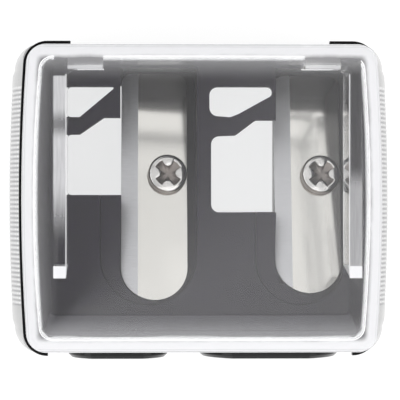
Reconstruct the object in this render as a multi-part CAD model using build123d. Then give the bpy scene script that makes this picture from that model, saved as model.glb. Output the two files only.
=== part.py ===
from build123d import *
import math
import os

# A duo cosmetic pencil sharpener, lying on its back. X runs across the two lanes, -Y is the
# side where the pencils go in, +Z leaves through the clear cover. Millimetres.

# Heights above the back
plate_top = 1.5
guide_top = 13.55
floor_under = 13.6
flange_under = 14.4
floor_z = 15.0
flange_top = 15.6
cover_base = 15.7
lip_top = 18.0
cover_top = 26.4

# Plan sizes, as halves of the full width and depth
body_half_x, body_half_y, body_corner = 20.2, 18.2, 2.4
wall = 1.6
flange_half_x, flange_half_y, flange_corner = 21.65, 18.8, 2.9
lip_half_x, lip_half_y, lip_corner = 19.65, 16.5, 1.6
lip_land = 0.3
floor_half_x, floor_front_y, floor_rear_y, floor_corner = 17.9, -13.75, 15.8, 0.6
side_bow, floor_bow = 0.7, 0.1
thumb_notch_half, mouth_notch_half = 15.5, 18.2

# Clear cover
cover_front_half_x, cover_front_half_y = 20.7, 17.7
cover_base_half_x, cover_base_half_y = 21.2, 18.0
cover_corner, cover_wall, cover_face = 2.3, 1.3, 1.4
cover_edge_round, cover_inner_round = 1.5, 0.7
rib_base = 16.8
rib_rear_y, rib_front_y, rib_thick, rib_end_slant, rib_brace = 16.9, -9.1, 1.3, 1.25, 1.0
tab_roof_y, tab_foot_y = 15.5, 15.1
lip_gap, rib_sink = 0.3, 0.2
ribs = [(-1, -15.7, -11.4), (1, 16.95, 11.8)]

# Side grips
grip_half_x, grip_half_y, grip_corner = 23.3, 18.8, 3.2
grip_low, grip_high = 1.0, 14.3
grip_edge_x, grip_wrap_x = 21.4, 19.2
peg_radius, peg_length, peg_y = 1.0, 1.4, 10.0

# Blades and screws
blade_width, blade_thick, bevel_width, edge_thick = 8.0, 0.55, 2.0, 0.08
blade_roll = 6.0
blade_corner = 1.2
screw_across = 5.55
head_radius, head_height, head_round, shank_radius, shank_length = 2.35, 1.2, 0.45, 1.2, 4.6
recess_arm, recess_width, recess_depth = 1.65, 1.1, 0.75
hole_clearance = 0.1

# Pencil mouths
mouth_depth_y = -12.8
cone_start_y = -12.3
ring_front_y, ring_back_y, ring_chamfer = -19.2, -17.2, 0.35
ring_low, ring_high = 0.4, 15.4
bore_clearance = 0.1
boss_wall = 1.6
guide_wall = 1.2
well_wall = 0.6
well_rear_y = 15.6
guide_rear_y = 16.1
shelf_top, shelf_foot, shelf_rear_y, shelf_gap, shaving_gap = 14.6, 13.0, -10.3, 0.1, 0.3
cone_tip_radius = 0.05
fit_gap = 0.05

# Posts that hold the back plate
posts = [(-17.2, -15.3), (17.2, -15.3), (-17.2, 15.3)]
post_radius, pin_radius, pin_end = 1.2, 0.8, 0.3

# One lane for each pencil size: axis of the pencil, its radius and its cone, the cutting edge,
# the recess around the blade, and the two service windows beside it
lanes = {
    "small": {
        "axis_x": -9.9, "axis_z": 10.3, "radius": 4.0, "apex_y": 3.7,
        "edge_x": -9.5, "blade_y": -12.2, "blade_length": 28.3, "screw_along": 15.5,
        "well_left": -12.0, "well_right": -0.4, "window_front_y": 0.4, "ring_radius": 6.0,
        "plate_window": (-16.9, -8.9, -0.3, 14.2), "window_round": 0.5, "window_bend": 0.15,
        "upper_window": [(-15.9, 13.3), (-10.1, 13.3), (-14.4, 9.7), (-15.9, 9.7)],
        "lower_window": [(-15.9, 7.6), (-14.4, 7.6), (-11.5, 9.6), (-8.9, 9.6), (-8.9, 0.4), (-15.9, 0.4)],
    },
    "large": {
        "axis_x": 8.5, "axis_z": 8.3, "radius": 6.0, "apex_y": 11.7,
        "edge_x": 9.1, "blade_y": -11.4, "blade_length": 27.2, "screw_along": 14.6,
        "well_left": 6.6, "well_right": 17.4, "window_front_y": -1.7, "ring_radius": 8.5,
        "plate_window": (0.9, 9.7, -2.6, 14.2), "window_round": 1.0, "window_bend": 0.6,
        "upper_window": [(1.1, 13.3), (8.6, 13.3), (8.6, 12.3), (4.6, 10.1), (3.6, 9.7), (1.1, 9.9)],
        "lower_window": [(1.3, 7.4), (4.2, 7.5), (6.6, 9.3), (9.7, 9.3), (9.7, -1.7), (1.3, -1.7)],
    },
}
plate_window_round = 1.0
same_point = 1e-6

overall_front = ring_front_y
overall_rear = flange_half_y
to_row = Pos(0, -(overall_front + overall_rear) / 2, 0)


def slab(sketch, low, high):
    """A plan sketch made solid between two heights."""
    return extrude(Pos(0, 0, low) * sketch, high - low)


def bowed_between(half_x, front_y, rear_y, corner, bow=side_bow):
    """A plan whose left and right sides bow outwards, with round corners."""
    end_x = half_x - bow
    middle_y = (front_y + rear_y) / 2
    sides = [
        Line((-end_x, rear_y), (end_x, rear_y)),
        ThreePointArc((end_x, rear_y), (half_x, middle_y), (end_x, front_y)),
        Line((end_x, front_y), (-end_x, front_y)),
        ThreePointArc((-end_x, front_y), (-half_x, middle_y), (-end_x, rear_y)),
    ]
    face = make_face(Curve() + sides)
    return fillet(face.vertices(), corner)


def bowed_outline(half_x, half_y, corner):
    """The same plan, as deep in front as behind."""
    return bowed_between(half_x, -half_y, half_y, corner)


def rectangle_between(left, right, front, rear, corner=0.0):
    """A plan rectangle from its four sides."""
    width, depth = right - left, rear - front
    plan = RectangleRounded(width, depth, corner) if corner else Rectangle(width, depth)
    return Pos((left + right) / 2, (front + rear) / 2) * plan


def along_y(lane, radius, front, rear):
    """A cylinder on a lane's pencil axis, between two stations along Y."""
    place = Pos(lane["axis_x"], (front + rear) / 2, lane["axis_z"]) * Rot(90, 0, 0)
    return place * Cylinder(radius, rear - front)


def pencil_space(lane):
    """The room that the pencil takes: the straight mouth, then the cone down to its point."""
    bore = lane["radius"] + bore_clearance
    mouth = along_y(lane, bore, ring_front_y - 1, cone_start_y)
    length = lane["apex_y"] - cone_start_y
    cone = Pos(lane["axis_x"], cone_start_y + length / 2, lane["axis_z"]) * Rot(-90, 0, 0)
    return mouth + cone * Cone(bore, cone_tip_radius, length)


def blade_place(lane):
    """The blade's own frame: x across from the cutting edge, y along it, z out of its top face."""
    slope = lane["radius"] / (lane["apex_y"] - cone_start_y)
    edge_z = lane["axis_z"] + slope * (lane["apex_y"] - lane["blade_y"])
    pitch = math.degrees(math.atan(slope))
    return Pos(lane["edge_x"], lane["blade_y"], edge_z) * Rot(-pitch, 0, 0) * Rot(0, blade_roll, 0)


def well_end(lane, inset=0.0):
    """The front of the recess around a blade: round at the mouth end, straight up to the windows."""
    left, right = lane["well_left"] + inset, lane["well_right"] - inset
    half = (right - left) / 2
    straight_y = mouth_depth_y + inset + half
    round_end = Pos((left + right) / 2, straight_y) * Circle(half)
    return round_end + rectangle_between(left, right, straight_y, lane["window_front_y"])


def well_plan(lane):
    """The whole recess around a blade, up to the rear wall."""
    return well_end(lane) + rectangle_between(lane["edge_x"] - fit_gap, lane["well_right"],
                                              lane["window_front_y"], well_rear_y)


def blade_plan(lane, grow=0.0):
    """A blade laid flat: round at the mouth end, with soft corners at the rear."""
    half = blade_width / 2
    length = lane["blade_length"]
    round_end = Pos(half, half) * Circle(half + grow)
    straight = rectangle_between(-grow, blade_width + grow, half, length + grow)
    rear_corners = straight.vertices().group_by(Axis.Y)[-1]
    return round_end + fillet(rear_corners, blade_corner)


def window_plan(points, left_round, bend_round):
    """A service window: round corners on the left, tighter ones at its other bends."""
    face = make_face(Polyline(*points, close=True))
    columns = face.vertices().group_by(Axis.X)
    bends = [vertex.center() for column in columns[1:] for vertex in column]
    face = fillet(columns[0], left_round)
    kept = [v for v in face.vertices() if min((v.center() - bend).length for bend in bends) < same_point]
    return fillet(kept, bend_round)


def ramp_space():
    """The tray's hollow above its floor, with sloped walls that meet in mitres."""
    land_x = lip_half_x - lip_land
    land_y = lip_half_y - lip_land
    base = bowed_between(floor_half_x, floor_front_y, floor_rear_y, floor_corner, floor_bow)
    rim = bowed_outline(land_x, land_y, lip_corner - lip_land)
    return loft(Sketch() + [Pos(0, 0, floor_z) * base, Pos(0, 0, lip_top) * rim])


def make_housing():
    shell = slab(RectangleRounded(2 * body_half_x, 2 * body_half_y, body_corner), 0, flange_under)
    inner = RectangleRounded(2 * (body_half_x - wall), 2 * (body_half_y - wall), body_corner - wall / 2)
    shell -= slab(inner, 0, floor_under)

    flange = slab(bowed_outline(flange_half_x, flange_half_y, flange_corner), flange_under, flange_top)
    rear_strip = rectangle_between(-thumb_notch_half, thumb_notch_half, body_half_y, body_half_y + 2)
    front_strip = rectangle_between(-mouth_notch_half, mouth_notch_half, -body_half_y - 2, -body_half_y)
    flange -= slab(rear_strip + front_strip, flange_under - 1, flange_top + 1)

    tray = slab(bowed_outline(lip_half_x, lip_half_y, lip_corner), floor_under, lip_top)
    body = shell + flange + tray - ramp_space()

    room = slab(Rectangle(2 * body_half_x, 2 * body_half_y), plate_top + fit_gap, floor_z)
    for lane in lanes.values():
        body += along_y(lane, lane["radius"] + boss_wall, -body_half_y, mouth_depth_y) & room
    for x, y in posts:
        body += Pos(x, y, (plate_top + floor_under) / 2) * Cylinder(post_radius, floor_under - plate_top)
        body += Pos(x, y, (pin_end + floor_under) / 2) * Cylinder(pin_radius, floor_under - pin_end)

    for lane in lanes.values():
        windows = [window_plan(lane[name], lane["window_round"], lane["window_bend"])
                   for name in ("upper_window", "lower_window")]
        body -= slab(well_plan(lane) + windows, floor_under - 0.1, floor_z + 0.1)
        body -= pencil_space(lane)
        body -= ring_blank(lane)
    for side in (-1, 1):
        for y in (-peg_y, peg_y):
            hole = Cylinder(peg_radius + hole_clearance / 2, 2 * wall + 2)
            body -= Pos(side * body_half_x, y, (grip_low + grip_high) / 2) * Rot(0, 90, 0) * hole
    return body


def make_back_plate():
    edge = wall + fit_gap
    plan = RectangleRounded(2 * (body_half_x - edge), 2 * (body_half_y - edge), body_corner - wall / 2)
    for lane in lanes.values():
        plan -= rectangle_between(*lane["plate_window"], plate_window_round)
    plate = slab(plan, 0, plate_top)
    for x, y in posts:
        plate -= Pos(x, y, 0) * Cylinder(pin_radius + hole_clearance / 2, 4 * plate_top)
    return plate


def make_guide(lane):
    bore = lane["radius"] + bore_clearance
    seat_left = lane["edge_x"] + 0.3
    seat = rectangle_between(seat_left, lane["well_right"] + well_wall, mouth_depth_y, guide_rear_y)
    cone_side = rectangle_between(lane["axis_x"] - bore - guide_wall, seat_left, mouth_depth_y,
                                  lane["window_front_y"])
    block = slab(seat + cone_side, plate_top + fit_gap, guide_top)

    above_seat = blade_place(lane) * slab(Circle(2 * lane["blade_length"]), 0, lip_top)
    block -= slab(well_plan(lane), 0, lip_top) & above_seat

    beside = rectangle_between(lane["well_left"], seat_left, mouth_depth_y, lane["window_front_y"])
    around_end = rectangle_between(seat_left, seat_left + blade_width / 2, mouth_depth_y, shelf_rear_y)
    shelf = slab(well_end(lane, shelf_gap) & (beside + around_end), shelf_foot, shelf_top)
    block += shelf - blade_place(lane) * slab(blade_plan(lane, shaving_gap), 0, lip_top)
    block -= pencil_space(lane)
    shank_room = Cylinder(shank_radius + hole_clearance / 2, shank_length + 1)
    block -= blade_place(lane) * Pos(screw_across, lane["screw_along"], -(shank_length + 1) / 2) * shank_room
    return block


def ring_blank(lane):
    """A mouth ring before it is bored: a disc with a flat at the front and at the back."""
    disc = along_y(lane, lane["ring_radius"], ring_front_y, ring_back_y)
    room = Pos(0, 0, (ring_low + ring_high) / 2) * Box(200, 200, ring_high - ring_low)
    return disc & room


def make_mouth_ring(lane):
    ring = ring_blank(lane)
    front_face = ring.faces().sort_by(Axis.Y)[0]
    ring = chamfer(front_face.edges(), ring_chamfer)
    bore = lane["radius"] + bore_clearance
    return ring - along_y(lane, bore, ring_front_y - 1, ring_back_y + 1)


def make_blade(lane):
    blade = slab(blade_plan(lane), 0, blade_thick)
    fall = blade_thick - edge_thick
    bevel = make_face(Polyline((-bevel_width, edge_thick - fall), (bevel_width, blade_thick),
                               (bevel_width, 2 * blade_thick), (-bevel_width, 2 * blade_thick), close=True))
    blade -= Pos(0, lane["blade_length"], 0) * extrude(Rot(90, 0, 0) * bevel, lane["blade_length"])
    hole = Cylinder(shank_radius + hole_clearance, 4 * blade_thick)
    blade -= Pos(screw_across, lane["screw_along"], 0) * hole
    return blade_place(lane) * blade


def make_screw(lane):
    head = Pos(0, 0, blade_thick + head_height / 2) * Cylinder(head_radius, head_height)
    head = fillet(head.edges().group_by(Axis.Z)[-1], head_round)
    slot = Box(2 * recess_arm, recess_width, 2 * recess_depth)
    recess = slot + Rot(0, 0, 90) * slot
    head -= Pos(0, 0, blade_thick + head_height) * Rot(0, 0, 45) * recess
    shank = Pos(0, 0, (blade_thick - shank_length) / 2) * Cylinder(shank_radius, shank_length + blade_thick)
    return blade_place(lane) * Pos(screw_across, lane["screw_along"], 0) * (head + shank)


def make_grip(side):
    """A grip that bows along the side, bulges across it and wraps both corners."""
    plan = bowed_outline(grip_half_x, grip_half_y, grip_corner)
    plan -= rectangle_between(-grip_half_x - 1, grip_wrap_x, -grip_half_y - 1, grip_half_y + 1)
    plan -= RectangleRounded(2 * body_half_x, 2 * body_half_y, body_corner)
    grip = slab(plan, grip_low, grip_high)

    rise = grip_half_x - grip_edge_x
    half_height = (grip_high - grip_low) / 2
    bulge = (half_height**2 + rise**2) / (2 * rise)
    grip &= Pos(grip_half_x - bulge, 0, grip_low + half_height) * Rot(90, 0, 0) * Cylinder(bulge, 100)
    for y in (-peg_y, peg_y):
        peg = Rot(0, 90, 0) * Cylinder(peg_radius, peg_length + 0.2)
        grip += Pos(body_half_x - peg_length / 2 + 0.1, y, grip_low + half_height) * peg
    return grip if side > 0 else mirror(grip, Plane.YZ)


def rib_wall(profile, start_x, end_x):
    """A wall under the cover's face: its outline in Y and Z, carried from one X to the other."""
    low_x, high_x = sorted((start_x, end_x))
    outline = make_face(Plane.YZ * Polyline(*profile, close=True))
    return Pos(low_x, 0, 0) * extrude(outline, high_x - low_x, dir=(1, 0, 0))


def cover_rib(side, inner_x, tab_end_x):
    """An L rib under the cover's face: a long leg beside the lane and a short one at the rear."""
    outer_x = inner_x + side * rib_thick
    brace_x = inner_x - side * rib_brace
    inside = cover_top - cover_face + rib_sink
    over_lip = lip_top + lip_gap
    step_y = floor_rear_y - lip_gap
    leg = rib_wall([(rib_front_y, inside), (rib_front_y + rib_end_slant, rib_base), (step_y, rib_base),
                    (step_y, over_lip), (rib_rear_y, over_lip), (rib_rear_y, inside)], inner_x, outer_x)
    tab = rib_wall([(tab_roof_y, inside), (tab_foot_y, over_lip), (rib_rear_y, over_lip),
                    (rib_rear_y, inside)], tab_end_x, outer_x)
    brace = rectangle_between(*sorted((inner_x, brace_x)), tab_foot_y - rib_brace, tab_roof_y)
    brace -= Pos(brace_x, tab_foot_y - rib_brace) * Circle(rib_brace)
    return leg + tab + slab(brace, over_lip, inside)


def make_cover():
    low_out = bowed_outline(cover_base_half_x, cover_base_half_y, cover_corner)
    high_out = bowed_outline(cover_front_half_x, cover_front_half_y, cover_corner)
    outer = loft(Sketch() + [Pos(0, 0, cover_base) * low_out, Pos(0, 0, cover_top) * high_out])
    outer = fillet(outer.faces().sort_by(Axis.Z)[-1].edges(), cover_edge_round)

    inner_corner = cover_corner - cover_wall / 2
    low_in = bowed_outline(cover_base_half_x - cover_wall, cover_base_half_y - cover_wall, inner_corner)
    high_in = bowed_outline(cover_front_half_x - cover_wall, cover_front_half_y - cover_wall, inner_corner)
    roof = cover_top - cover_face
    inner = loft(Sketch() + [Pos(0, 0, cover_base) * low_in, Pos(0, 0, roof) * high_in])
    inner = fillet(inner.faces().sort_by(Axis.Z)[-1].edges(), cover_inner_round)

    cover = outer - inner
    for side, inner_x, tab_end_x in ribs:
        cover += cover_rib(side, inner_x, tab_end_x) & outer
    return cover


pieces = {
    "housing": make_housing(),
    "back_plate": make_back_plate(),
    "clear_cover": make_cover(),
    "left_grip": make_grip(-1),
    "right_grip": make_grip(1),
}
for name, lane in lanes.items():
    pieces[f"{name}_guide"] = make_guide(lane)
    pieces[f"{name}_mouth_ring"] = make_mouth_ring(lane)
    pieces[f"{name}_blade"] = make_blade(lane)
    pieces[f"{name}_blade_screw"] = make_screw(lane)

os.makedirs("parts", exist_ok=True)
for name, piece in pieces.items():
    export_step(to_row * piece, f"parts/{name}.step")
    print(name, len(piece.solids()), round(piece.volume, 1))
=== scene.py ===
import bpy
import bmesh
import math
from mathutils import Vector, Matrix


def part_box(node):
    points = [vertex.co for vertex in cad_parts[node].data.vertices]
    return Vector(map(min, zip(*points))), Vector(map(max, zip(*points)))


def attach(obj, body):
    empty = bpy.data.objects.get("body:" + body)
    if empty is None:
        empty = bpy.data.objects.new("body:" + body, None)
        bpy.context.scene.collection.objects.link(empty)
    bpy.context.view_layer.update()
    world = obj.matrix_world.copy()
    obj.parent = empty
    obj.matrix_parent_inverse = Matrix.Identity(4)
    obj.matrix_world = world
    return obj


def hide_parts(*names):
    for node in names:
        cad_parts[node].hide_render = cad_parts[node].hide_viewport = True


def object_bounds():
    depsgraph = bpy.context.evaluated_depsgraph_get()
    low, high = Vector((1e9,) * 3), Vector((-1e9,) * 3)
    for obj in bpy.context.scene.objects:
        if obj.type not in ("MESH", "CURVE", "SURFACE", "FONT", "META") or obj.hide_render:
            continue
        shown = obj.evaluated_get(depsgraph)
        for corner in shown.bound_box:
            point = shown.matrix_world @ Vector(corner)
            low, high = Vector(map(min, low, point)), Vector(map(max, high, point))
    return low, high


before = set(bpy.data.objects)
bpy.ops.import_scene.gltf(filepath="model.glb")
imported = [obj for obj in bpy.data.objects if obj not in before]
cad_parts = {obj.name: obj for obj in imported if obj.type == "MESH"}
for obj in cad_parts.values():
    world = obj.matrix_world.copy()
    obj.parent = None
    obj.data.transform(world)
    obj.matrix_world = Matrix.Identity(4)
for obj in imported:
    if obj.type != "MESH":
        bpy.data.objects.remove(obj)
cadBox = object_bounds()
mm = 0.001


# shader helpers: a socket that can be used in sums, and a material that makes its own nodes

class Wire:
    def __init__(self, mat, socket):
        self.mat, self.socket = mat, socket

    def math(self, operation, *others):
        return self.mat.node("ShaderNodeMath", {"operation": operation}, *others)

    def __add__(self, other):
        return self.math("ADD", self, other)

    def __radd__(self, other):
        return self.math("ADD", other, self)

    def __sub__(self, other):
        return self.math("SUBTRACT", self, other)

    def __rsub__(self, other):
        return self.math("SUBTRACT", other, self)

    def __mul__(self, other):
        return self.math("MULTIPLY", self, other)

    def __rmul__(self, other):
        return self.math("MULTIPLY", other, self)

    def __truediv__(self, other):
        return self.math("DIVIDE", self, other)

    def __rtruediv__(self, other):
        return self.math("DIVIDE", other, self)

    def __abs__(self):
        return self.math("ABSOLUTE", self)

    def most(self, other):  # the larger of two
        return self.math("MAXIMUM", self, other)

    def least(self, other, soft):  # the smaller of two, rounded where they meet
        return self.math("SMOOTH_MIN", self, other, soft)

    def above(self, edge, soft):  # 0 below the edge, 1 above it, over a soft width
        return self.mat.node("ShaderNodeMapRange", {"interpolation_type": "SMOOTHSTEP"},
                             self, edge - soft / 2, edge + soft / 2, 0.0, 1.0)

    def near(self, middle, width):  # 1 on a line, falling to 0 a width away
        return 1 - abs(self - middle).above(width / 2, width)


class Finish:
    def __init__(self, name, **fixed):
        self.material = bpy.data.materials.new(name)
        self.material.use_nodes = True
        self.tree = self.material.node_tree
        self.shader = self.tree.nodes["Principled BSDF"]
        self.fix(self.shader, fixed)

    def fix(self, shader, fixed):
        for key, value in fixed.items():
            shader.inputs[key.replace("_", " ")].default_value = value

    def node(self, kind, settings=None, *values, out=0, **named):
        made = self.tree.nodes.new(kind)
        for key, value in (settings or {}).items():
            setattr(made, key, value)
        pairs = list(enumerate(values)) + [(key.replace("_", " "), value) for key, value in named.items()]
        for key, value in pairs:
            socket = made.inputs[key]
            if isinstance(value, Wire):
                self.tree.links.new(value.socket, socket)
            else:
                socket.default_value = value
        return Wire(self, made.outputs[out])

    def place(self):  # the surface point in millimetres
        point = self.node("ShaderNodeTexCoord", out=3)
        return self.node("ShaderNodeVectorMath", {"operation": "SCALE"}, point, Scale=1 / mm)

    def axes(self, point):
        return [self.node("ShaderNodeSeparateXYZ", None, point, out=i) for i in range(3)]

    def stretched(self, point, x, y, z):
        return self.node("ShaderNodeVectorMath", {"operation": "MULTIPLY"}, point, (x, y, z))

    def noise(self, point, scale, detail=3.0, rough=0.5):
        return self.node("ShaderNodeTexNoise", None,
                         Vector=point, Scale=scale, Detail=detail, Roughness=rough)

    def attribute(self, name):
        return self.node("ShaderNodeAttribute", {"attribute_name": name}, out=2)

    def normal(self):
        return self.node("ShaderNodeNewGeometry", out=1)

    def mix(self, share, dark, light):
        made = self.tree.nodes.new("ShaderNodeMix")
        made.data_type = "RGBA"
        for key, value in ((0, share), (6, dark), (7, light)):
            if isinstance(value, Wire):
                self.tree.links.new(value.socket, made.inputs[key])
            else:
                made.inputs[key].default_value = value if key == 0 else (*value, 1)
        return Wire(self, made.outputs[2])

    def feed(self, **wires):
        for key, wire in wires.items():
            self.tree.links.new(wire.socket, self.shader.inputs[key.replace("_", " ")])

    def bump(self, height, distance, edge=None):  # distance and edge are in millimetres
        made = self.node("ShaderNodeBump", None, Distance=distance * mm, Height=height)
        if edge:
            corner = self.node("ShaderNodeBevel", {"samples": 6}, Radius=edge * mm)  # softens corners
            self.tree.links.new(corner.socket, made.socket.node.inputs["Normal"])
        return made

    def cover(self, share, **fixed):  # lays a second plain shader over the first
        second = self.tree.nodes.new("ShaderNodeBsdfPrincipled")
        self.fix(second, fixed)
        join = self.tree.nodes.new("ShaderNodeMixShader")
        self.tree.links.new(share.socket, join.inputs[0])
        self.tree.links.new(self.shader.outputs[0], join.inputs[1])
        self.tree.links.new(second.outputs[0], join.inputs[2])
        self.tree.links.new(join.outputs[0], self.tree.nodes["Material Output"].inputs["Surface"])


# finishes

def scaled(tone, share):
    return [channel * share for channel in tone]


def blackPlastic(name, tone, gloss, grain, shine, tray=None):
    mat = Finish(name, IOR=1.5, Specular_IOR_Level=shine)
    point = mat.place()
    cloud = mat.noise(point, 0.35)
    fine = mat.noise(point, 14.0, 2.0)
    colour = mat.mix(cloud, scaled(tone, 0.8), scaled(tone, 1.2))
    rough = gloss + cloud * 0.05 + fine * 0.04
    if tray:  # darker outside the tray, and a painted sheen making its front and rear slopes paler, left off along one line across them
        x, y, z = mat.axes(point)
        normal = mat.axes(mat.normal())
        outside = abs(x).above(tray["sideX"], 0.1).most(abs(y).above(tray["endY"], 0.1))
        colour = mat.mix(outside, colour, tray["outsideTone"])
        slope = abs(normal[1]).above(0.5, 0.3) * normal[2].above(0.4, 0.2) * z.above(tray["slopeFoot"], 0.1)
        line = z.near(tray["lineZ"], 0.1) * 0.7
        colour = mat.mix(slope * (1 - line), colour, tray["slopeSheen"])
        rough = rough + slope * tray["slopeRough"]
    mat.feed(Base_Color=colour, Roughness=rough, Normal=mat.bump(fine, grain, 0.12))
    return mat.material


def clearPlastic():  # clear, with painted highlights: a milky white share painted where its rounded edges, its ribs and its rear tabs catch the light
    # ior, tint, wave and rough make the clear plastic; the last four settings make the white shader that
    # paints highlights on it
    look = {"ior": 1.49, "tint": (0.985, 0.99, 0.995, 1), "wave": 0.004, "rough": 0.02,
            "gleamColour": (0.88, 0.88, 0.90, 1), "glow": 0.22, "gleamRough": 0.5, "gleamIor": 1.2}
    # edge, ribs and tabs place the painted highlights; each share is how strongly one is painted
    edge = {"lean": 0.42, "bow": 0.7, "round": 1.2, "ragged": 0.35, "width": 1.55, "soft": 0.9,
            "depth": 1.7, "skin": 1.2, "skinSide": 0.9, "share": 0.94, "line": 0.35,
            "outerLine": 0.12, "innerLine": 0.36,
            "endGleam": 0.27, "endReach": 2.8, "endSoft": 3.4,
            "sideGleam": 0.20, "sideReach": 2.6, "sideSoft": 3.6}
    ribs = {"leftX": -15.6, "rightX": 16.85, "width": 1.45, "top": 24.9, "inward": 2.2,
            "front": -8.95, "end": -7.55, "rear": 14.2, "endShare": 0.95, "lineShare": 0.75,
            "leftShare": 0.66, "leftFrom": -1.5, "leftFade": 8.0, "gapY": 8.7, "gap": 2.0, "gapShare": 0.7,
            "rightShare": 0.36, "rightRear": 0.04, "rightTo": 2.5, "rightFade": 3.0}
    tabs = {"x": (-13.4, 13.8), "half": 2.05, "edgeY": 15.2, "rear": 16.9, "edgeShare": 0.62, "share": 0.3}
    low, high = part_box("clear_cover")
    halfX, halfY, top = high.x / mm, (high.y - low.y) / 2 / mm, high.z / mm
    middleY = (high.y + low.y) / 2 / mm
    mat = Finish("clearPolystyrene", IOR=look["ior"], Transmission_Weight=1.0, Base_Color=look["tint"])
    point = mat.place()
    x, y, z = mat.axes(point)

    def patch(centre, half, front, rear, soft):  # 1 inside a rectangle of the plan
        across = 1 - abs(x - centre).above(half, soft)
        return across * y.above(front, soft) * (1 - y.above(rear, soft))

    # the painted highlight band along the rounded edge, by how far a point lies inside the face's bowed
    # outline, with a fainter painted gleam towards the ends and along the left side
    along = (y - middleY) / halfY
    fromSide = halfX - edge["lean"] - edge["bow"] * along * along - abs(x)
    fromEnd = halfY - edge["lean"] * 0.7 - abs(y - middleY)
    inward = fromSide.least(fromEnd, edge["round"])
    ragged = (mat.noise(mat.stretched(point, 0.5, 0.5, 0.2), 1.0) - 0.5) * edge["ragged"]
    skin = z.above(top - edge["skin"], 0.2).most(1 - inward.above(edge["skinSide"], 0.2))
    skin = skin * z.above(top - edge["depth"], 0.3)
    lines = (inward.near(edge["outerLine"], 0.1) + inward.near(edge["innerLine"], 0.08) * 0.5) * edge["line"]
    rim = (1 - (inward + ragged).above(edge["width"], edge["soft"])) * (edge["share"] - lines)
    endGleam = (1 - (fromEnd + ragged).above(edge["endReach"], edge["endSoft"])) * edge["endGleam"]
    sideGleam = (1 - (fromSide + ragged).above(edge["sideReach"], edge["sideSoft"])) * edge["sideGleam"]
    sideGleam = sideGleam * (1 - x.above(0.0, 10.0))  # the painted side gleam lies on the left only

    # painted gleam on the face over the ribs and their short rear legs, at fixed places in the plan
    half = ribs["width"] / 2
    streak = mat.noise(mat.stretched(point, 6.0, 0.35, 1.0), 1.0) * 0.5 + 0.7
    left = patch(ribs["leftX"] - half, half, -14.0, ribs["rear"], 0.3) * ribs["leftShare"]
    left = left * y.above(ribs["leftFrom"], ribs["leftFade"])
    left = left * (1 - y.near(ribs["gapY"], ribs["gap"]) * ribs["gapShare"])
    right = 1 - y.above(ribs["rightTo"], ribs["rightFade"])
    right = right * ribs["rightShare"] + ribs["rightRear"]
    right = patch(ribs["rightX"] + half, half, -8.0, 15.0, 0.2) * right
    lit = streak * left.most(right)
    for inner, side in ((ribs["leftX"], -1), (ribs["rightX"], 1)):
        lit = lit.most(patch(inner, 0.07, -8.6, 14.4, 0.12) * streak * ribs["lineShare"])
        lit = lit.most(patch(inner + side * half, half, ribs["front"], ribs["end"], 0.15) * ribs["endShare"])
    for centre in tabs["x"]:
        front, rear = tabs["edgeY"] - 0.25, tabs["edgeY"] + 0.25
        lit = lit.most(patch(centre, tabs["half"], front, rear, 0.35) * tabs["edgeShare"])
        lit = lit.most(patch(centre, tabs["half"], tabs["edgeY"], tabs["rear"], 0.15) * tabs["share"])
    lit = lit * z.above(top - 0.3, 0.1)

    # painted highlight on the ribs' own slanted front ends
    end = inward.above(ribs["inward"], 0.2) * (1 - z.above(ribs["top"], 0.2))
    end = end * (1 - y.above(ribs["end"], 0.3)) * 0.85

    # share of the painted highlight shader laid over the clear one
    share = (skin * rim.most(endGleam).most(sideGleam)).most(lit).most(end)
    mat.feed(Roughness=mat.noise(point, 0.5) * look["rough"],
             Normal=mat.bump(mat.noise(point, 0.25, 1.0), look["wave"]))
    mat.cover(share, Base_Color=look["gleamColour"], Roughness=look["gleamRough"],
              Transmission_Weight=look["glow"], IOR=look["gleamIor"])
    return mat.material


def bladeSteel():
    look = {"bright": (0.77, 0.75, 0.71), "dull": (0.72, 0.70, 0.66), "bevel": (0.70, 0.695, 0.71),
            "roughness": 0.10, "ground": 0.30, "lines": 0.004}
    mat = Finish("polishedBladeSteel", Metallic=1.0)
    point = mat.place()
    sideways = mat.axes(mat.normal())[0]
    bevel = 1 - sideways.above(0.0, 0.06)  # the ground strip leans the other way from the face
    across = mat.noise(mat.stretched(point, 0.7, 9.0, 2.0), 1.0, 4.0, 0.6)
    cloud = mat.noise(point, 0.3)
    face = mat.mix(cloud, look["dull"], look["bright"])
    ground = mat.mix(across, scaled(look["bevel"], 0.82), scaled(look["bevel"], 1.12))
    rough = look["roughness"] + cloud * 0.05 + bevel * look["ground"] + bevel * across * 0.1
    mat.feed(Base_Color=mat.mix(bevel, face, ground), Roughness=rough,
             Normal=mat.bump(across * bevel, look["lines"], 0.04))
    return mat.material


def nickel(name, tone, roughness, grain=0.002, groove=None):
    mat = Finish(name, Metallic=1.0)
    point = mat.place()
    cloud = mat.noise(point, 1.2)
    colour = mat.mix(cloud, scaled(tone, 0.9), tone)
    if groove:  # the knurl has painted shade in its grooves and a painted highlight on its points
        colour = mat.mix(mat.attribute("knurlPoint"), colour, scaled(tone, 1.6))
        colour = mat.mix(mat.attribute("grooveDepth"), colour, groove)
    mat.feed(Base_Color=colour, Roughness=roughness + cloud * 0.08,
             Normal=mat.bump(mat.noise(point, 9.0), grain))
    return mat.material


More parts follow.
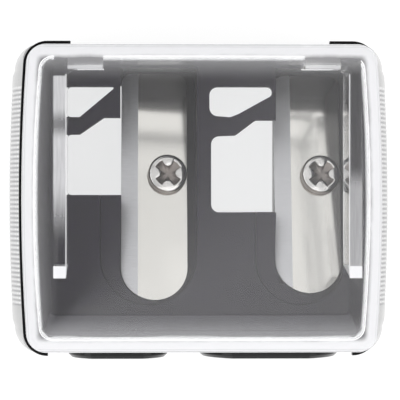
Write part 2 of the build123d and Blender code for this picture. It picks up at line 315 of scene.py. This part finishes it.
# the slope colour is a painted sheen on the tray's front and rear slopes
trayLook = {"sideX": 19.9, "endY": 17.0, "outsideTone": (0.003, 0.003, 0.003), "slopeFoot": 15.3,
            "slopeSheen": (0.10, 0.095, 0.115), "slopeRough": 0.25, "lineZ": 17.35}
blackTone = (0.014, 0.0095, 0.022)
finishes = {
    "housing": blackPlastic("satinBlackPlastic", blackTone, gloss=0.16, grain=0.003, shine=0.12,
                            tray=trayLook),
    "guide": blackPlastic("mattBlackPlastic", blackTone, gloss=0.24, grain=0.005, shine=0.12),
    "ring": blackPlastic("glossBlackPlastic", (0.006, 0.006, 0.007), gloss=0.14, grain=0.002, shine=0.25),
    "cover": clearPlastic(),
    "blade": bladeSteel(),
    "screw": nickel("nickelledScrew", (0.72, 0.70, 0.68), 0.16),
    # a darker, rougher nickel: its dark tone is painted shade in the screw's cross recess and on its head's
    # flank
    "recess": nickel("screwRecessAndFlankShade", (0.31, 0.272, 0.25), 0.38, grain=0.006),
    # groove is the painted shade colour in the knurl's grooves
    "grip": nickel("metallisedGrip", (0.54, 0.54, 0.54), 0.16, groove=(0.32, 0.32, 0.33)),
}


def dress(node, finish):
    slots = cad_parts[node].data.materials
    slots.clear()
    slots.append(finishes[finish])


dress("back_plate", "housing")
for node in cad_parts:
    for word in ("housing", "cover", "grip", "screw", "blade", "ring", "guide"):
        if word in node:
            dress(node, word)
            break
print("finishes assigned")


def meshPiece(name, points, faces, mats, slots, flat=()):  # flat lists the faces without smooth shading
    mesh = bpy.data.meshes.new(name)
    mesh.from_pydata([Vector(p) * mm for p in points], [], faces)
    for mat in mats:
        mesh.materials.append(mat)
    flat = set(flat)
    for index, polygon in enumerate(mesh.polygons):
        polygon.material_index = slots[index]
        polygon.use_smooth = index not in flat
    built = bmesh.new()
    built.from_mesh(mesh)
    bmesh.ops.recalc_face_normals(built, faces=built.faces)
    built.to_mesh(mesh)
    built.free()
    piece = bpy.data.objects.new(name, mesh)
    bpy.context.scene.collection.objects.link(piece)
    return piece


def cleanUp(piece):
    built = bmesh.new()
    built.from_mesh(piece.data)
    bmesh.ops.remove_doubles(built, verts=built.verts, dist=0.002 * mm)
    bmesh.ops.recalc_face_normals(built, faces=built.faces)
    built.to_mesh(piece.data)
    built.free()


# side grips: a strip that bows along the side, bulges across it, wraps both corners and is knurled

def knurledGrip(node, side):
    grip = {"bow": 0.7, "corner": 3.2, "rise": 1.9, "wrapRise": 0.35, "wrapX": 19.2, "inner": 20.22,
            "innerEnd": 18.22, "knurlFront": -12.9, "knurlRear": 13.8,
            "pitch": 0.55, "depth": 0.13, "notch": 0.35, "turns": 10, "plainStep": 0.8}
    low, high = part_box(node)
    outer = max(abs(low.x), abs(high.x)) / mm
    front, rear = low.y / mm, high.y / mm
    middle, halfY = (front + rear) / 2, (rear - front) / 2
    bottom, top = low.z / mm, high.z / mm
    halfZ, middleZ = (top - bottom) / 2, (top + bottom) / 2
    bulge = (halfZ ** 2 + grip["rise"] ** 2) / (2 * grip["rise"])
    step = grip["pitch"] / 2
    corner = grip["corner"]

    def sideX(y):  # the bowed side
        return outer - grip["bow"] * ((y - middle) / halfY) ** 2

    def plainRun(start, stop):  # the smooth stretch between two stations, without its ends
        count = round((stop - start) / grip["plainStep"])
        stations = [start + (stop - start) * k / count for k in range(1, count)]
        return [((sideX(y), y), (1, 0), 1.0, False) for y in stations]

    def cornerRun(sign):  # from the end of the wrap round one corner onto the side
        end = middle + sign * halfY
        cornerX, cornerY = sideX(end) - corner, end - sign * corner
        run = [((grip["wrapX"], end), (0, sign), 0.0, False)]
        for k in range(grip["turns"] + 1):
            angle = math.pi / 2 * (1 - k / grip["turns"])
            way = (math.cos(angle), sign * math.sin(angle))
            place = (cornerX + corner * way[0], cornerY + corner * way[1])
            run.append((place, way, 1 - math.sin(angle), False))
        return run

    # each point of the plan: its place, its outward direction, its share of the bulge, in the knurl or not
    path = cornerRun(-1)
    path += plainRun(path[-1][0][1], grip["knurlFront"])
    cells = round((grip["knurlRear"] - grip["knurlFront"]) / step)
    for k in range(cells + 1):
        y = grip["knurlFront"] + k * step
        path.append(((sideX(y), y), (1, 0), 1.0, 0 < k < cells))
    path += plainRun(path[-1][0][1], middle + halfY - corner)
    path += cornerRun(1)[::-1]

    rows = round((top - bottom) / step)
    points, faces, flat, depths = [], [], [], {}
    for i, ((x, y), way, share, knurled) in enumerate(path):
        rise = grip["wrapRise"] + (grip["rise"] - grip["wrapRise"]) * share
        inX = min(x, grip["inner"])
        inY = middle + max(-grip["innerEnd"], min(grip["innerEnd"], y - middle))
        loop = [(inX, inY, bottom)]
        for j in range(rows + 1):
            z = bottom + (top - bottom) * j / rows
            sink = (bulge - math.sqrt(bulge ** 2 - (z - middleZ) ** 2)) * rise / grip["rise"]
            if knurled and 0 < j < rows:
                groove = 1 - grip["notch"] * (j % 2) if i % 2 else grip["notch"] * (j % 2)
                depths[len(points) + len(loop)] = groove
                sink += grip["depth"] * groove
            loop.append((x - way[0] * sink, y - way[1] * sink, z))
        loop.append((inX, inY, top))
        points += [(side * px, py, pz) for px, py, pz in loop]
    ring = rows + 3
    for i in range(len(path) - 1):
        for j in range(ring):
            a, b = i * ring + j, i * ring + (j + 1) % ring
            c, d = b + ring, a + ring
            if 0 < j < ring - 2 and (path[i][3] or path[i + 1][3]):
                flat += [len(faces), len(faces) + 1]
                faces += [(a, b, c), (a, c, d)] if (i + j) % 2 else [(a, b, d), (b, c, d)]
            else:
                faces.append((a, b, c, d))
                if j in (0, ring - 2, ring - 1):
                    flat.append(len(faces) - 1)
    faces += [tuple(range(ring)), tuple(range((len(path) - 1) * ring, len(path) * ring))]
    flat += [len(faces) - 2, len(faces) - 1]
    piece = meshPiece(f"{node}_knurled", points, faces, [finishes["grip"]], [0] * len(faces), flat)
    # groove depth and its inverse, which the grip finish reads to paint shade in the grooves and a highlight
    # on the points
    layers = [piece.data.attributes.new(name, "FLOAT", "POINT") for name in ("grooveDepth", "knurlPoint")]
    for index, groove in depths.items():
        layers[0].data[index].value = groove
        layers[1].data[index].value = 1 - groove
    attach(piece, "body")
    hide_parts(node)


knurledGrip("left_grip", -1)
knurledGrip("right_grip", 1)
print("knurled grips built")


# blade screws: a low round head with a cross recess, seated square to its blade

def bladeFrame(blade, screw):  # the screw head's top centre, with x across the blade and z out of its face
    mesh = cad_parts[blade].data
    face = max((p for p in mesh.polygons if p.normal.z > 0.9 and p.normal.x > 0), key=lambda p: p.area)
    out = face.normal.normalized()
    roll, pitch = math.asin(out.x), math.atan2(out.y, out.z)
    turn = Matrix.Rotation(-pitch, 3, "X") @ Matrix.Rotation(roll, 3, "Y")
    local = [turn.transposed() @ v.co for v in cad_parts[screw].data.vertices]
    top = max(p.z for p in local)
    rim = [p for p in local if p.z > top - 0.1 * mm]
    centre = Vector(((min(p.x for p in rim) + max(p.x for p in rim)) / 2,
                     (min(p.y for p in rim) + max(p.y for p in rim)) / 2, top))
    return Matrix.Translation(turn @ centre) @ turn.to_4x4()


def crossScrew(blade, screw):
    head = {"radius": 2.35, "height": 1.2, "round": 0.40, "flat": 1.9, "armReach": 1.66, "lobeAt": 1.52,
            "lobe": 0.63, "depth": 0.7, "slope": 0.14, "shank": 1.2, "length": 5.8, "sides": 144,
            "litFrom": 3, "litTo": 9}
    sides = head["sides"]

    def recessEdge(angle):  # a cross of straight arms with a round lobe left between each two
        turned = (angle + math.pi / 4) % (math.pi / 2) - math.pi / 4
        reach = head["lobe"] ** 2 - (head["lobeAt"] * math.sin(turned)) ** 2
        lobe = head["lobeAt"] * math.cos(turned) - math.sqrt(reach) if reach > 0 else head["armReach"]
        return min(lobe, head["armReach"])

    deep, base, tip, drop = -head["depth"], -head["height"], -head["length"], 0.03
    recess = [(0.0, deep), (0.30, deep), (1 - head["slope"], deep * 0.72), (1.0, -0.05), (1.05, 0.0)]
    turned = [(head["flat"], 0.0), (head["radius"] - head["round"], -drop)]
    for k in range(1, 7):
        angle = math.pi / 2 * k / 6
        turned.append((head["radius"] - head["round"] * (1 - math.sin(angle)),
                       -drop - head["round"] * (1 - math.cos(angle))))
    turned += [(head["radius"], base + 0.12), (head["radius"] - 0.1, base), (head["shank"], base),
               (head["shank"], tip + 0.4), (head["shank"] - 0.35, tip)]
    rings = recess + turned
    points, faces, slots = [], [], []
    for i, (reach, z) in enumerate(rings):
        for k in range(sides):
            angle = 2 * math.pi * k / sides
            radius = reach * recessEdge(angle) if i < len(recess) else reach
            points.append((radius * math.cos(angle), radius * math.sin(angle), z))
    for i in range(len(rings) - 1):
        for k in range(sides):
            a, b = i * sides + k, i * sides + (k + 1) % sides
            faces.append((a, b, b + sides, a + sides))
            slots.append(0 if head["litFrom"] <= i < head["litTo"] else 1)  # nickel on the top; the recess and the flank below take the darker finish, a painted shade
    faces.append(tuple((len(rings) - 1) * sides + k for k in range(sides)))
    slots.append(0)
    piece = meshPiece(f"{screw}_cross", points, faces, [finishes["screw"], finishes["recess"]], slots)
    cleanUp(piece)
    piece.data.transform(bladeFrame(blade, screw))
    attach(piece, "body")
    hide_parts(screw)


for lane in ("small", "large"):
    crossScrew(f"{lane}_blade", f"{lane}_blade_screw")
print("blade screws built")


# stage, lights and camera

def makeStage():
    look = {"size": 3.0, "grey": 0.27, "glow": 0.78}
    bpy.ops.mesh.primitive_plane_add(size=look["size"], location=(0, 0, -0.00002))
    floor = bpy.context.object
    floor.name = "studio_table"
    mat = Finish("paleTable", Roughness=0.9, Emission_Strength=look["glow"], Emission_Color=(1, 1, 1, 1))
    grey = (look["grey"],) * 3
    mat.feed(Base_Color=mat.mix(mat.noise(mat.place(), 0.01), scaled(grey, 0.98), grey))
    floor.data.materials.append(mat.material)


def makeWorld():
    look = {"colour": (1.0, 1.0, 1.0, 1), "strength": 0.45}
    world = bpy.data.worlds.new("studioWhite")
    world.use_nodes = True
    back = world.node_tree.nodes["Background"]
    back.inputs["Color"].default_value = look["colour"]
    back.inputs["Strength"].default_value = look["strength"]
    bpy.context.scene.world = world


def makeCeiling():  # a lit scrim, dimmer towards the rear left, with one crisp corner of its bright part
    look = {"height": 0.726, "size": 2.4, "dim": 0.75, "bright": 1.65,
            "rear": 1.0, "rearY": 150.0, "rearSoft": 120.0,
            "corner": (-36.0, -48.0), "angle": 42.0, "crisp": 12.0, "spread": 1.2}
    bpy.ops.mesh.primitive_plane_add(size=look["size"], location=(0, 0, look["height"]),
                                     rotation=(math.pi, 0, 0))
    scrim = bpy.context.object
    bpy.ops.object.transform_apply(location=False, rotation=True, scale=False)
    scrim.name = "studio_scrim"
    scrim.visible_camera = False
    mat = Finish("litScrim", Base_Color=(0, 0, 0, 1), Specular_IOR_Level=0.0, Emission_Strength=1.0)
    x, y, z = mat.axes(mat.place())
    fromX, fromY = x - look["corner"][0], y - look["corner"][1]
    cos, sin = math.cos(math.radians(look["angle"])), math.sin(math.radians(look["angle"]))
    across = fromX * sin - fromY * cos
    along = (fromX * cos + fromY * sin).most(0.0)
    share = across.above(0.0, along * look["spread"] + look["crisp"])
    level = share * (look["bright"] - look["dim"]) + look["dim"]
    rear = y.above(look["rearY"], look["rearSoft"])
    level = level * (1 - rear) + rear * look["rear"]
    colour = mat.node("ShaderNodeCombineColor", None, level, level, level)
    mat.feed(Emission_Color=colour)
    scrim.data.materials.append(mat.material)


def softbox(name, place, size, brightness):
    data = bpy.data.lights.new(name, "AREA")
    data.shape = "RECTANGLE"
    data.size, data.size_y = size
    data.energy = brightness * math.pi * size[0] * size[1]
    lamp = bpy.data.objects.new(name, data)
    aim = (Vector((0, 0, 0.02)) - Vector(place)).to_track_quat("-Z", "Y").to_matrix().to_4x4()
    lamp.matrix_world = Matrix.Translation(place) @ aim
    bpy.context.scene.collection.objects.link(lamp)


def makeCamera():
    view = {"height": 0.240, "sideways": -0.006, "aim": -0.00029, "lens": 189.0}
    top = cadBox[1][2]
    data = bpy.data.cameras.new("studioCamera")
    data.lens, data.sensor_width = view["lens"], 36.0
    data.clip_start = 0.01
    camera = bpy.data.objects.new("studioCamera", data)
    camera.location = (view["sideways"], 0, top + view["height"])
    turn = math.atan((view["sideways"] - view["aim"]) / view["height"])
    camera.rotation_euler = (0, turn, 0)  # looks down, with the pencil side towards the bottom
    bpy.context.scene.collection.objects.link(camera)
    bpy.context.scene.camera = camera


makeStage()
makeWorld()
makeCeiling()
softbox("leftWall", (-0.7, 0.0, 0.30), (0.9, 0.5), 1.8)
softbox("rightWall", (0.7, 0.0, 0.30), (0.9, 0.5), 1.35)
softbox("frontWall", (0.0, -0.8, 0.22), (0.9, 0.35), 1.8)
softbox("rearWall", (0.0, 0.8, 0.22), (0.9, 0.35), 1.8)
makeCamera()
bpy.context.scene.view_settings.view_transform = "Standard"
print("stage ready")
